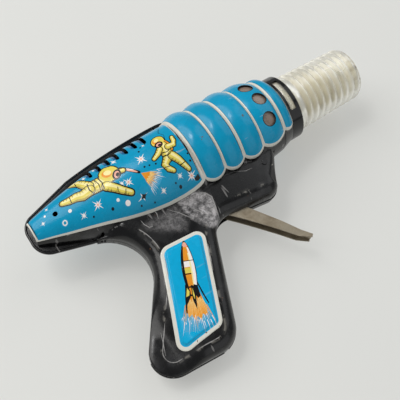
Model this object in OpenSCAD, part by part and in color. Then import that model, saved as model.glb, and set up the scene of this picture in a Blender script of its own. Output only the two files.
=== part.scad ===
// Tin friction sparking toy: a space ray gun lying on its left side.
// +X runs along the barrel to the muzzle, +Y to the top of the gun, +Z out of its right side.

/* [Barrel] */
// Radius of the barrel in the grooves between its ribs
barrel_r = 24.4; // [23:0.1:25]
// Height of each rib above its grooves
rib_h = 2; // [1.5:0.1:2.2]
// Half angle of the ring of window film, round from the side of the gun
film_angle = 48; // [42:1:60]
// Radius of each spark window
window_r = 3.9; // [3:0.1:4.6]

/* [Muzzle] */
// How far the clear tube stands out of the collar
tube_len = 45.8; // [40:0.1:50]
// Radius of the tube's crests at its mouth
tube_mouth_r = 15.9; // [15.4:0.1:16.2]
// Radius of the bore through the tube
tube_bore_r = 14; // [12:0.1:14.2]
// Number of ribs on the tube
tube_ribs = 9; // [7:1:10]
// Radius of the collar
collar_r = 19.2; // [18.8:0.1:19.6]

/* [Rear] */
// How far the rear bulge reaches behind the muzzle collar
rear_len = 160.2; // [158:0.1:161]
// Width of the flat seam rim round the bulge
rim_w = 3; // [2:0.1:3.5]
// Number of vent slots
vent_count = 7; // [5:1:7]
// Width of each vent slot
vent_w = 1.8; // [1.2:0.1:2.4]

/* [Body and grip] */
// Half the thickness of the grip
grip_half = 10; // [9.5:0.1:11]
// Rounding of the grip's edges
grip_round = 6.5; // [5:0.1:7]
// Thickness of the sheet
wall = 0.6; // [0.5:0.1:0.8]

/* [Trigger] */
// Half the width of the folded trigger
trigger_half = 4; // [3.8:0.1:4.2]
// Thickness of the trigger's sheet
trigger_sheet = 0.8; // [0.6:0.1:1]

/* [Mechanism] */
// Teeth on a full circle of the sector gear
sector_teeth = 48; // [48:1:48]
// Teeth on the drive pinion
pinion_teeth = 12; // [12:1:12]
// Teeth on the drive gear
drive_teeth = 36; // [36:1:36]
// Teeth on the pinion of the spark wheel
wheel_teeth = 12; // [12:1:12]
// Radius of the spark wheel
spark_r = 11; // [10:0.1:11.2]
// Half the distance between the mechanism's two plates
plate_half = 7; // [7:0.1:7.2]

/* [Hidden] */
$fn = 72;

// Colours of the materials
blue = [0.05, 0.55, 0.75];
black = [0.07, 0.07, 0.08];
steel = [0.62, 0.60, 0.56];
brass = [0.78, 0.63, 0.32];
clear = [0.92, 0.90, 0.84, 0.6];
film_red = [0.45, 0.12, 0.08, 0.7];

// Places along the barrel, measured from the front edge of the collar
groove_x = [-69.5, -56.5, -44, -31, -15, -7.5];
groove_r = [barrel_r + 0.2, barrel_r, barrel_r - 0.2, barrel_r - 0.4, 21.7, collar_r];
bulge_x = -73;
bulge_r = 24.8;
rib_steps = 6;
rim_t = 0.8;
bulge_tilt = 2.8;

// The rear bulge narrows with the square of the distance behind its front, about an axis that rises
function bulge_radius(x) = bulge_r - 0.0023 * pow(min(x - bulge_x, 0), 2);
function bulge_centre(x) = -tan(bulge_tilt) * min(x - bulge_stations[0], 0);
bulge_stations = [-69.5, -80, -90, -100, -109, -118, -126, -134, -141, -147, -152, -157];
tail_x = -rear_len;
tail_r = 6.6;

// Gears, all with a 20 degree pressure angle and short teeth
pressure = 20;
addendum = 0.8;
dedendum = 1.05;
backlash = 0.14;
sector_module = 1;
wheel_module = 0.8;
pivot = [-72, -26];
pinion_bearing = 60;
drive_gap = sector_module * (sector_teeth + pinion_teeth) / 2;
drive_at = pivot + drive_gap * [cos(pinion_bearing), sin(pinion_bearing)];
wheel_gap = wheel_module * (drive_teeth + wheel_teeth) / 2;
wheel_at = drive_at + [wheel_gap, 0];

// Shafts and pins, with the running clearance of each bore
pin_r = 1.5;
shaft_r = 1.2;
run = 0.06;
shaft_half = 8.4;
plate_t = 0.8;
pillar_r = 1.8;
pillars_at = [[-84, -18], [-64, 17], [-42, -19]];
rivet_at = [-34.7, -26.2];
rivet_r = 1;

// Arcs joined by straight lines, each [centre x, centre y, radius, first angle, last angle].
// An arc that turns back on itself (last angle below the first) is a hollow corner.
body_arcs = [
    [-139, -38, 22.5, 76, -37.5],
    [-131, -85.5, 12, 142.5, 267],
    [-110, -85, 14, 267, 337.5],
    [-68.4, -52.2, 12, 157.5, 82.4],
    [-41, -35.6, 8, 262.4, 326.4],
    [-21.5, -18, 0, 0, 0],
    [-24, -6, 0, 0, 0],
    [-105, -4, 0, 0, 0]
];
rim_arcs = [
    [-73, 0, bulge_r + rim_w, 60, 90],
    [-73, -312.2, bulge_r + rim_w + 312.2, 90, 99.8],
    [-153, 5.5, 7 + rim_w, 115, 175],
    [-152, 0.4, 8 + rim_w, 175, 254],
    [-134, -11, 2 + rim_w, 256, 270],
    [-105, -4, 0, 0, 0]
];
front_tab = [[-21, -17], [-8, -13], [-9.5, -19.5], [-19, -23.5]];

// Centre line of the trigger and half its width along it, from the pivot to the tip
trigger_path = [
    [-72, -26, 6], [-66, -34.5, 4.6], [-60, -42.2, 3.6], [-53, -51, 3],
    [-46.4, -59.5, 2.5], [-40, -68.5, 1.8], [-35, -73.4, 0.9]
];

function arc_points(arc, inset, steps) =
    let (hollow = arc[4] < arc[3], r = arc[2] == 0 ? 0 : max(arc[2] + (hollow ? inset : -inset), 0.02))
    arc[2] == 0 ? [[arc[0], arc[1]]]
    : [for (i = [0:steps]) let (a = arc[3] + (arc[4] - arc[3]) * i / steps)
        [arc[0] + r * cos(a), arc[1] + r * sin(a)]];

function outline(arcs, inset = 0, steps = 6) = [for (arc = arcs) each arc_points(arc, inset, steps)];

// Faces of a stack of rings with n points each, closed at both ends
function stack_faces(n, rings) = concat(
    [[for (i = [0:n - 1]) i]],
    [for (k = [0:rings - 2]) for (i = [0:n - 1])
        [(k + 1) * n + i, (k + 1) * n + (i + 1) % n, k * n + (i + 1) % n, k * n + i]],
    [[for (i = [n - 1:-1:0]) (rings - 1) * n + i]]
);

// A slab from height low up to half, whose top edge is rounded off in steps
module rounded_slab(arcs, low, half, edge, inset) {
    steps = 6;
    for (i = [0:steps - 1]) translate([0, 0, low])
        linear_extrude(half - edge + edge * sin(90 * (i + 1) / steps) - low)
            polygon(outline(arcs, inset + edge * (1 - cos(90 * (i + 0.5) / steps))));
}

module about_x() { rotate([0, 90, 0]) children(); }

// Everything is drawn from the collar's front edge, then moved to the middle of its footprint
module place() {
    front_x = tube_len;
    back_x = -160 - rim_w;
    top_y = bulge_r + rim_w;
    low_y = -99;
    lift = barrel_r + 0.1 + rib_h;
    translate([-(front_x + back_x) / 2, -(top_y + low_y) / 2, lift]) children();
}

function groove_mix(i, t) = groove_r[i] + (groove_r[i + 1] - groove_r[i]) * t;

// Each solid is half round when it is the outside of a shell, and whole when it is the inside cut away
module barrel_solid(inset, turn) {
    last = len(groove_x) - 2;
    ribs = [for (i = [0:last]) for (k = [0:rib_steps - (i == last ? 0 : 1)]) let (t = k / rib_steps)
        [groove_mix(i, t) + rib_h * pow(sin(180 * t), 0.75) - inset,
            groove_x[i] + (groove_x[i + 1] - groove_x[i]) * t]];
    front = inset > 0 ? [[groove_r[last + 1] - inset, 1], [0, 1]] : [[0, groove_x[last + 1]]];
    about_x() rotate([0, 0, 90]) rotate_extrude(angle = turn)
        polygon(concat([[0, groove_x[0]]], ribs, front));
}

module bulge_solid(inset, turn) {
    back = [for (x = bulge_stations) [bulge_radius(x) - inset, x - bulge_stations[0]]];
    end = tail_x - bulge_stations[0] + inset;
    translate([bulge_stations[0], 0, 0]) rotate([0, 0, -bulge_tilt]) about_x() rotate([0, 0, 90])
        rotate_extrude(angle = turn) polygon(concat(
            [[0, 3], [bulge_radius(0) - inset - 0.6, 3]], back,
            [[tail_r + 1.2 - inset, end + 0.8], [tail_r - 0.6 - inset, end], [0, end]]));
}

module gun_outside() {
    barrel_solid(0, 180);
    bulge_solid(0, 180);
    rounded_slab(body_arcs, 0, grip_half, grip_round, 0);
}

module gun_inside() {
    barrel_solid(wall, 360);
    bulge_solid(wall, 360);
    rounded_slab(body_arcs, -1, grip_half - wall, grip_round - wall, wall);
}

module rim_flange() {
    linear_extrude(rim_t) polygon(outline(rim_arcs));
    linear_extrude(rim_t) polygon(front_tab);
}

// A ring sector about the barrel axis, from angle a to angle b measured from +Z towards +Y
module arc_cutter(x, width, r_in, r_out, a, b, y = 0) {
    translate([x - width / 2, y, 0]) about_x() rotate([0, 0, 180 - b]) rotate_extrude(angle = b - a)
        translate([r_in, 0]) square([r_out - r_in, width]);
}

module vents() {
    vent_pitch = 5.5;
    for (i = [0:vent_count - 1]) let (x = -87.5 - vent_pitch * i)
        arc_cutter(x, vent_w, bulge_radius(x) - 5, bulge_radius(x) + 4, 28, 66, bulge_centre(x));
}

windows = [[-22.5, 31], [-21, 5], [-22.5, -25]];
module window_holes() {
    for (w = windows) rotate([-w[1], 0, 0]) translate([w[0], 0, 15]) cylinder(r = window_r, h = 20, $fn = 32);
}

module trigger_slot() {
    translate([-75, -50, -trigger_half - 0.8]) cube([20, 14, 2 * (trigger_half + 0.8)]);
}

module half_shell() {
    difference() {
        union() {
            gun_outside();
            rim_flange();
        }
        gun_inside();
        window_holes();
        vents();
        trigger_slot();
        translate([rivet_at[0], rivet_at[1], 5]) cylinder(r = rivet_r, h = 10);
    }
}

module right_shell() {
    hole_x = -145.6;
    place() color(blue) difference() {
        half_shell();
        translate([hole_x, bulge_centre(hole_x) + 1.2, 5]) cylinder(r = 1.4, h = 20);
    }
}

module left_shell() {
    place() color(black) mirror([0, 0, 1]) half_shell();
}

lip_r = 17;
lip_t = 0.8;
module muzzle_collar() {
    back = groove_x[5];
    slot_w = 3.4;
    place() color(black) difference() {
        about_x() rotate_extrude() polygon([
            [collar_r - wall, back + 0.02], [collar_r, back + 0.02], [collar_r, -0.5],
            [collar_r - 0.5, 0], [lip_r, 0], [lip_r, -lip_t], [collar_r - wall, -lip_t]
        ]);
        for (turn = [0, 180]) arc_cutter(-4.2, slot_w, 18.2, 21, turn - 32, turn + 32);
    }
}

module muzzle_tube() {
    band = 5.5;
    base_r = 16.9;
    groove = 0.9;
    pitch = (tube_len - band) / tube_ribs;
    steps = 8;
    ribs = [for (i = [0:tube_ribs - 1]) for (k = [0:steps]) let (t = (i + k / steps) / tube_ribs)
        [base_r + (tube_mouth_r - base_r) * t - groove * (1 - pow(sin(180 * k / steps), 0.5)),
            band + (i + k / steps) * pitch]];
    place() color(clear) about_x() rotate_extrude() polygon(concat(
        [[tube_bore_r, -5.5], [17.9, -5.5], [17.9, -lip_t - 0.1], [lip_r - 0.1, -lip_t - 0.1], [base_r, 0.1]],
        [[base_r, band - 0.3]], ribs, [[tube_bore_r, tube_len]]));
}

module window_film(side) {
    place() color(film_red) arc_cutter(-23, 12, 21.5, 21.8, (side > 0 ? 0 : 180) - film_angle,
        (side > 0 ? 0 : 180) + film_angle);
}
module window_film_right() { window_film(1); }
module window_film_left() { window_film(-1); }

plate_outline = [
    [-90, -22], [-88, -12], [-70, 20.5], [-66, 21.8], [-56, 21.8], [-44, 19], [-29, 8],
    [-24, -2], [-24, -15], [-31, -29.5], [-42, -29.5], [-66, -33], [-78, -33]
];
module frame_plate(z) {
    bush_r = 2;
    place() color(steel) translate([0, 0, z]) linear_extrude(plate_t) difference() {
        polygon(plate_outline);
        translate(pivot) circle(r = pin_r);
        translate(drive_at) circle(r = shaft_r + run);
        translate(wheel_at) circle(r = bush_r);
        for (p = pillars_at) translate(p) circle(r = 1);
        translate(rivet_at) circle(r = rivet_r);
        translate([-74, 2]) circle(r = 5);
        translate([-47, -14]) circle(r = 3);
    }
}
module frame_plate_right() { frame_plate(plate_half); }
module frame_plate_left() { frame_plate(-plate_half - plate_t); }

module frame_pillars() {
    place() color(steel) for (p = pillars_at) translate([p[0], p[1], 0]) {
        cylinder(r = pillar_r, h = 2 * plate_half, center = true);
        cylinder(r = 1, h = 2 * (plate_half + plate_t + 0.4), center = true);
    }
}

module cross_rivet() {
    head_r = 1.7;
    place() color(steel) translate([rivet_at[0], rivet_at[1], 0]) {
        cylinder(r = rivet_r, h = 2 * grip_half, center = true);
        for (side = [-1, 1]) scale([1, 1, side]) translate([0, 0, grip_half])
            cylinder(r = head_r, h = 0.5);
    }
}

function left_side(path, k) = let (
    a = path[max(k - 1, 0)], b = path[min(k + 1, len(path) - 1)],
    d = [b[0] - a[0], b[1] - a[1]] / norm([b[0] - a[0], b[1] - a[1]]))
    [path[k][0] - d[1] * path[k][2], path[k][1] + d[0] * path[k][2]];
function right_side(path, k) = 2 * [path[k][0], path[k][1]] - left_side(path, k);

front_edge = [for (k = [1:len(trigger_path) - 1]) left_side(trigger_path, k)];
rear_edge = [for (k = [len(trigger_path) - 1:-1:1]) right_side(trigger_path, k)];

module trigger_flange_shape() {
    difference() {
        union() {
            polygon(concat([[-68.2, -21.4]], front_edge, rear_edge, [[-76.5, -29.8]]));
            translate(pivot) circle(r = 6);
        }
        translate(pivot) circle(r = pin_r + run);
        sector_rivet_holes();
    }
}

module trigger_web_shape() {
    inner = [for (k = [len(trigger_path) - 1:-1:2])
        let (s = trigger_sheet / trigger_path[k][2])
        left_side(trigger_path, k) * (1 - s) + [trigger_path[k][0], trigger_path[k][1]] * s];
    outer = [for (k = [2:len(trigger_path) - 1]) left_side(trigger_path, k)];
    polygon(concat(outer, inner));
}

module trigger() {
    place() color(steel) {
        for (z = [-trigger_half, trigger_half - trigger_sheet]) translate([0, 0, z])
            linear_extrude(trigger_sheet) trigger_flange_shape();
        linear_extrude(2 * trigger_half - 0.2, center = true) trigger_web_shape();
    }
}

module trigger_pin() {
    place() color(steel) translate([pivot[0], pivot[1], 0])
        cylinder(r = pin_r, h = 2 * shaft_half, center = true);
}

// A wire swept along points, as rings of eight sides
wire_sides = 8;
function ring(path, k, r) = let (
    a = path[max(k - 1, 0)], b = path[min(k + 1, len(path) - 1)],
    t = (b - a) / norm(b - a),
    up = abs(t[2]) > 0.9 ? [1, 0, 0] : [0, 0, 1],
    u = cross(up, t) / norm(cross(up, t)), v = cross(t, u))
    [for (i = [0:wire_sides - 1]) let (w = 360 * i / wire_sides) path[k] + r * (cos(w) * u + sin(w) * v)];
module wire(path, r) {
    polyhedron([for (k = [0:len(path) - 1]) each ring(path, k, r)], stack_faces(wire_sides, len(path)));
}

module trigger_spring() {
    turns = 3;
    coil_r = 2.9;
    wire_r = 0.4;
    per_turn = 14;
    first_z = -0.7;
    rise = 1.05;
    leg = 13;
    start = -52;
    coil = [for (i = [0:turns * per_turn + 5]) let (a = start - 90 + 360 * i / per_turn)
        [pivot[0] + coil_r * cos(a), pivot[1] + coil_r * sin(a), first_z + rise * i / per_turn]];
    low_leg = coil[0] + leg * [cos(start), sin(start), 0];
    last = coil[len(coil) - 1];
    turn_end = start - 90 + 360 * (turns * per_turn + 5) / per_turn;
    high_leg = last + 11 * [cos(turn_end + 90), sin(turn_end + 90), 0];
    place() color(steel) wire(concat([low_leg], coil, [high_leg]), wire_r);
}

// Involute gear outline: n teeth of module m, tooth 0 centred on +X
function involute(base, roll) = base * [cos(roll) + roll * PI / 180 * sin(roll),
    sin(roll) - roll * PI / 180 * cos(roll)];
function roll_at(base, r) = r <= base ? 0 : sqrt(pow(r / base, 2) - 1) * 180 / PI;
function turned(p, a) = [p[0] * cos(a) - p[1] * sin(a), p[0] * sin(a) + p[1] * cos(a)];
function tooth(n, m) = let (
    pitch_r = m * n / 2, base = pitch_r * cos(pressure), tip = pitch_r + addendum * m,
    root = pitch_r - dedendum * m,
    at_pitch = involute(base, roll_at(base, pitch_r)),
    half = 90 / n - backlash / 2 / pitch_r * 180 / PI,
    back = atan2(at_pitch[1], at_pitch[0]) + half,
    flank = [for (i = [0:4]) let (r = max(base, root) + (tip - max(base, root)) * i / 4)
        turned(involute(base, roll_at(base, r)), -back)],
    foot = turned([root, 0], -back))
    concat([foot], flank, [for (i = [4:-1:0]) [flank[i][0], -flank[i][1]]], [[foot[0], -foot[1]]]);
module gear_shape(n, m) {
    polygon([for (i = [0:n - 1]) each [for (p = tooth(n, m)) turned(p, 360 * i / n)]]);
}

sector_low = -trigger_half + trigger_sheet;
sector_t = 1.6;
sector_from = 49;
sector_to = 91;
rivet_spots = [for (a = [125, -5]) pivot + 4.4 * [cos(a), sin(a)]];
module sector_rivet_holes() {
    for (p = rivet_spots) translate(p) circle(r = 0.8);
}

module sector_gear() {
    reach = 30;
    middle = (sector_from + sector_to) / 2;
    place() color(brass) translate([0, 0, sector_low]) linear_extrude(sector_t) difference() {
        union() {
            translate(pivot) intersection() {
                rotate(pinion_bearing) gear_shape(sector_teeth, sector_module);
                polygon([[0, 0], reach * [cos(sector_from), sin(sector_from)],
                    reach * 1.1 * [cos(middle), sin(middle)], reach * [cos(sector_to), sin(sector_to)]]);
            }
            translate(pivot) circle(r = 5.8);
        }
        translate(pivot) circle(r = pin_r + run);
        sector_rivet_holes();
    }
}

module sector_rivets() {
    place() color(steel) for (p = rivet_spots) translate([p[0], p[1], 0]) {
        translate([0, 0, -trigger_half]) cylinder(r = 0.8, h = trigger_sheet + sector_t);
        translate([0, 0, -trigger_half - 0.4]) cylinder(r = 1.1, h = 0.4);
    }
}

module drive_shaft() {
    place() color(steel) translate([drive_at[0], drive_at[1], 0])
        cylinder(r = shaft_r, h = 2 * shaft_half, center = true);
}

module drive_pinion() {
    place() color(brass) translate([drive_at[0], drive_at[1], sector_low - 0.4])
        linear_extrude(sector_t + 0.8) difference() {
        rotate(pinion_bearing + 180 + 180 / pinion_teeth) gear_shape(pinion_teeth, sector_module);
        circle(r = shaft_r);
    }
}

drive_low = 0;
drive_t = 1.4;
module drive_gear() {
    place() color(brass) translate([drive_at[0], drive_at[1], drive_low])
        linear_extrude(drive_t) difference() {
        gear_shape(drive_teeth, wheel_module);
        circle(r = shaft_r);
        for (i = [0:4]) rotate(72 * i + 27) translate([9.6, 0]) circle(r = 2.6);
        translate(pawl_pivot) circle(r = 0.7);
    }
}

ratchet_r = 3.2;
ratchet_low = drive_low + drive_t + 0.05;
ratchet_t = 0.8;
module ratchet_wheel() {
    n = 8;
    place() color(steel) translate([drive_at[0], drive_at[1], ratchet_low])
        linear_extrude(ratchet_t) difference() {
        polygon([for (i = [0:n - 1]) each [
            ratchet_r * [cos(360 * i / n), sin(360 * i / n)],
            (ratchet_r - 0.9) * [cos(360 * i / n + 4), sin(360 * i / n + 4)]]]);
        circle(r = shaft_r);
    }
}

pawl_pivot = [-5.2, 5.2];
module pawl() {
    place() color(steel) translate([drive_at[0], drive_at[1], ratchet_low])
        linear_extrude(ratchet_t) difference() {
        union() {
            translate(pawl_pivot) circle(r = 1.6);
            polygon([[-6.2, 4], [0.4, 3.35], [0.5, 4.1], [-4.4, 6.5]]);
        }
        translate(pawl_pivot) circle(r = 0.7);
    }
}

module pawl_rivet() {
    place() color(brass) translate([drive_at[0] + pawl_pivot[0], drive_at[1] + pawl_pivot[1], drive_low])
        cylinder(r = 0.7, h = ratchet_low + ratchet_t + 0.3 - drive_low);
}

module wheel_shaft() {
    place() color(steel) translate([wheel_at[0], wheel_at[1], 0])
        cylinder(r = shaft_r, h = 2 * shaft_half, center = true);
}

module on_wheel_shaft(low, height) {
    translate([wheel_at[0], wheel_at[1], low]) linear_extrude(height) difference() {
        children();
        circle(r = shaft_r);
    }
}

module wheel_pinion() {
    place() color(brass) on_wheel_shaft(drive_low - 0.3, drive_t + 0.6)
        rotate(180 + 180 / wheel_teeth) gear_shape(wheel_teeth, wheel_module);
}

module wheel_bushes() {
    place() color(brass) for (z = [-plate_half - plate_t, plate_half - 0.4])
        translate([wheel_at[0], wheel_at[1], z]) linear_extrude(plate_t + 0.4) difference() {
            circle(r = 2);
            circle(r = shaft_r + run);
        }
}

module flywheel() { place() color(steel) on_wheel_shaft(-5.6, 4) circle(r = spark_r); }

spark_low = 2.8;
spark_t = 2.4;
hub_r = 8.6;
module spark_wheel_hub() { place() color(steel) on_wheel_shaft(spark_low, spark_t) circle(r = hub_r); }
module spark_ring() {
    place() color([0.35, 0.33, 0.32]) translate([wheel_at[0], wheel_at[1], spark_low])
        linear_extrude(spark_t) difference() {
        circle(r = spark_r);
        circle(r = hub_r);
    }
}

// The flint and its holder point at the wheel's axis
flint_bearing = -50;
module at_flint(from) {
    translate([wheel_at[0], wheel_at[1], spark_low + spark_t / 2]) rotate([0, 0, flint_bearing])
        rotate([0, 90, 0]) translate([0, 0, from]) children();
}
flint_len = 5.4;
flint_r = 1.1;
module flint() {
    place() color([0.3, 0.3, 0.31]) at_flint(spark_r + 0.05) cylinder(r = flint_r, h = flint_len);
}

holder_from = spark_r + 1.6;
holder_len = 8;
module flint_holder() {
    strap_t = plate_half - (spark_low + spark_t / 2) - 1.5;
    place() color(brass) at_flint(holder_from) difference() {
        union() {
            cylinder(r = 2, h = holder_len);
            translate([-1.5 - strap_t, -2, 2]) cube([strap_t + 1.5, 4, 4]);
        }
        translate([0, 0, -1]) cylinder(r = flint_r + 0.05, h = holder_len);
    }
}

// The spring's coils fill this sleeve
module flint_spring() {
    from = spark_r + 0.1 + flint_len;
    place() color(steel) at_flint(from) difference() {
        cylinder(r = flint_r - 0.1, h = holder_from + holder_len - from - 1.1);
        translate([0, 0, -1]) cylinder(r = 0.6, h = holder_len);
    }
}

right_shell();
left_shell();
muzzle_collar();
muzzle_tube();
window_film_right();
window_film_left();
frame_plate_right();
frame_plate_left();
frame_pillars();
cross_rivet();
trigger();
trigger_pin();
trigger_spring();
sector_gear();
sector_rivets();
drive_shaft();
drive_pinion();
drive_gear();
ratchet_wheel();
pawl();
pawl_rivet();
wheel_shaft();
wheel_pinion();
wheel_bushes();
flywheel();
spark_wheel_hub();
spark_ring();
flint();
flint_holder();
flint_spring();
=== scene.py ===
import math
import random

import bpy
import numpy as np
from mathutils import Matrix, Vector, kdtree
from mathutils.geometry import delaunay_2d_cdt

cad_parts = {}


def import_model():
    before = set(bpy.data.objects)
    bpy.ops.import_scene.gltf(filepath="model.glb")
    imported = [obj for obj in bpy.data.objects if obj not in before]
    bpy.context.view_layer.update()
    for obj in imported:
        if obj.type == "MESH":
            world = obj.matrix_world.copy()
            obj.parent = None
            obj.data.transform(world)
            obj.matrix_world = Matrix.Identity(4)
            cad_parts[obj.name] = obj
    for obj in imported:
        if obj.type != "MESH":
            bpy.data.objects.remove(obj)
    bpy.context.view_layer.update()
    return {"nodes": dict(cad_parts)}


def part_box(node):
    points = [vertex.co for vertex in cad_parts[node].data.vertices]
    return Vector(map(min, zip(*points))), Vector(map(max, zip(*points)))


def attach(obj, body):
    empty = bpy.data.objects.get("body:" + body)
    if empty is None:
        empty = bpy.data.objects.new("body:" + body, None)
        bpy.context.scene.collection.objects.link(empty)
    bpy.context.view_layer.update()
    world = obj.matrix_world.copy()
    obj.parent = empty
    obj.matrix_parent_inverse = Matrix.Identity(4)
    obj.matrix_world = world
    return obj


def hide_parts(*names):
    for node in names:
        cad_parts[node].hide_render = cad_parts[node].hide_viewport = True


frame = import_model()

# Everything below is in millimetres from the middle of the collar's front edge:
# +X to the muzzle, +Y to the top of the gun, +Z out of its right side.
collar_low, collar_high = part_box("muzzle_collar")
ORIGIN = np.array([collar_high.x, (collar_low.y + collar_high.y) / 2, (collar_low.z + collar_high.z) / 2])


def world(p):
    return ORIGIN + np.asarray(p, float) * 0.001


# ---------------------------------------------------------------- materials

def node(tree, kind, props=None, **inputs):
    n = tree.nodes.new("ShaderNode" + kind)
    for k, v in (props or {}).items():
        setattr(n, k, v)
    for k, v in inputs.items():
        s = n.inputs[int(k[1:])] if k[0] == "i" and k[1:].isdigit() else n.inputs[k.replace("_", " ")]
        if isinstance(v, bpy.types.NodeSocket):
            tree.links.new(v, s)
        else:
            s.default_value = v
    return n


class Paint:
    """A Principled material with helpers for the masks it is built from."""

    def __init__(self, name):
        self.m = bpy.data.materials.new(name)
        self.m.use_nodes = True
        self.t = self.m.node_tree
        self.p = self.t.nodes["Principled BSDF"]
        self.pos = node(self.t, "TexCoord").outputs["Object"]

    def noise(self, scale, detail=3.0, rough=0.55, stretch=None, shift=(0, 0, 0), distortion=0.0):
        vec = self.pos
        if stretch or any(shift):
            vec = node(self.t, "Mapping", Vector=vec, Scale=stretch or (1, 1, 1), Location=shift).outputs[0]
        return node(self.t, "TexNoise", Vector=vec, Scale=scale, Detail=detail, Roughness=rough,
                    Distortion=distortion).outputs[0]

    def range(self, value, low, high, out_low=0.0, out_high=1.0):
        return node(self.t, "MapRange", {"interpolation_type": "SMOOTHSTEP"}, i0=value, i1=low, i2=high,
                    i3=out_low, i4=out_high).outputs[0]

    def math(self, op, a, b=0.0):
        return node(self.t, "Math", {"operation": op, "use_clamp": op != "SUBTRACT"}, i0=a, i1=b).outputs[0]

    def mix(self, fac, a, b):
        return node(self.t, "Mix", {"data_type": "RGBA"}, i0=fac, i6=a, i7=b).outputs[2]

    def attribute(self, name):
        return node(self.t, "Attribute", {"attribute_name": name}).outputs["Fac"]

    def near(self, centre, inner, outer):
        """1 within inner mm of a point, 0 beyond outer mm."""
        d = node(self.t, "VectorMath", {"operation": "DISTANCE"}, i0=self.pos, i1=tuple(world(centre)))
        return self.range(d.outputs["Value"], inner * 0.001, outer * 0.001, 1.0, 0.0)

    def bump(self, height, distance, strength=1.0, under=None):
        ins = {"Height": height, "Distance": distance * 0.001, "Strength": strength}
        if under is not None:
            ins["Normal"] = under
        return node(self.t, "Bump", **ins).outputs[0]

    def set(self, **sockets):
        for k, v in sockets.items():
            s = self.p.inputs[k.replace("_", " ")]
            if isinstance(v, bpy.types.NodeSocket):
                self.t.links.new(v, s)
            else:
                s.default_value = v
        return self.m


def srgb(r, g, b, a=1.0):
    def lin(c):
        c /= 255
        return c / 12.92 if c <= 0.04045 else ((c + 0.055) / 1.055) ** 2.4
    return (lin(r), lin(g), lin(b), a)


def shade(c, k):
    return (min(c[0] * k, 1), min(c[1] * k, 1), min(c[2] * k, 1), 1)


RUST = srgb(92, 58, 36)
BARE = srgb(150, 146, 138)


def printed(name, colour, rub, spread, rust):
    """Lithographed ink on tin under an old varnish: mottled, rubbed, with fine scratches and rust specks."""
    p = Paint(name)
    broad = p.noise(28, 2)
    fine = p.noise(420, 4, 0.6)
    base = p.mix(broad, shade(colour, 1 - spread), shade(colour, 1 + spread))
    base = p.mix(p.range(fine, 0.35, 0.75, 0, 0.35), base, shade(colour, 1 - spread * 1.5))
    hair = p.noise(160, 2, 0.5, stretch=(0.25, 2.6, 1.2), shift=(0.02, 0.01, 0))
    scratch = p.math("MULTIPLY", p.range(hair, 0.685, 0.72), rub)
    base = p.mix(scratch, base, srgb(176, 186, 186))
    specks = p.noise(330, 3, 0.7, shift=(0.31, 0.17, 0.05))
    where = p.noise(38, 2, 0.5, shift=(0.1, 0.4, 0.2))
    spots = p.math("MULTIPLY", p.range(specks, 0.69, 0.72), p.range(where, 0.5, 0.62))
    spots = p.math("MULTIPLY", spots, rust)
    base = p.mix(spots, base, RUST)
    rough = p.range(p.noise(65, 4, 0.6), 0.3, 0.7, 0.16, 0.32)
    rough = p.math("ADD", rough, p.math("MULTIPLY", spots, 0.4))
    dents = p.bump(p.noise(45, 1, 0.4), 0.55, 0.5)
    skin = p.bump(p.noise(700, 2, 0.5), 0.02, 0.5, dents)
    return p.set(Base_Color=base, Roughness=rough, Normal=skin, Specular_IOR_Level=0.22,
                 Coat_Weight=0.12, Coat_Roughness=0.08)


def black_enamel(name, scuffs=1.0):
    """Glossy black enamel, dulled by handling, with cloudy scuffs, hairlines and rubbed edges."""
    p = Paint(name)
    cloud = p.noise(95, 6, 0.68, distortion=0.4)
    grit = p.noise(560, 5, 0.75)
    area = p.attribute("scuff")
    streak = p.noise(330, 4, 0.7, stretch=(0.5, 1.5, 1), shift=(0.4, 0.1, 0))
    patch = p.math("MULTIPLY", p.range(cloud, 0.32, 0.64, 0.12, 1.0), p.range(grit, 0.38, 0.6, 0.28, 1.0))
    patch = p.math("ADD", patch, p.math("MULTIPLY", p.range(streak, 0.56, 0.66), 0.3))
    scuff = p.math("MULTIPLY", p.math("MULTIPLY", area, patch), 0.85 * scuffs)
    film = p.math("MULTIPLY", p.range(p.noise(60, 5, 0.65, shift=(0.2, 0, 0.3)), 0.5, 0.75), 0.2 * scuffs)
    base = p.mix(p.noise(40, 3), srgb(4, 4, 5), srgb(13, 13, 14))
    base = p.mix(film, base, srgb(118, 118, 120))
    base = p.mix(scuff, base, srgb(196, 192, 192))
    hair = p.noise(150, 2, 0.45, stretch=(2.2, 0.3, 1.0), shift=(0.05, 0.02, 0.1))
    lines = p.math("MULTIPLY", p.range(hair, 0.69, 0.715), 0.35)
    base = p.mix(lines, base, srgb(165, 162, 160))
    worn = p.math("MULTIPLY", p.math("MULTIPLY", p.attribute("wear"), 0.5),
                  p.range(p.noise(150, 4, 0.7, shift=(0.3, 0.2, 0.1)), 0.52, 0.6))
    base = p.mix(worn, base, BARE)
    chips = p.math("MULTIPLY", p.range(p.noise(240, 3, 0.7, shift=(0.07, 0.33, 0.1)), 0.71, 0.74), 0.8)
    base = p.mix(chips, base, RUST)
    rough = p.range(p.noise(80, 4, 0.65), 0.3, 0.7, 0.14, 0.36)
    rough = p.math("ADD", rough, p.math("MULTIPLY", scuff, 0.6))
    dents = p.bump(p.noise(38, 2, 0.5), 0.5, 0.5)
    skin = p.bump(grit, 0.03, 0.5, dents)
    return p.set(Base_Color=base, Roughness=rough, Normal=skin, Specular_IOR_Level=0.34,
                 Coat_Weight=0.15, Coat_Roughness=0.1)


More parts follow.
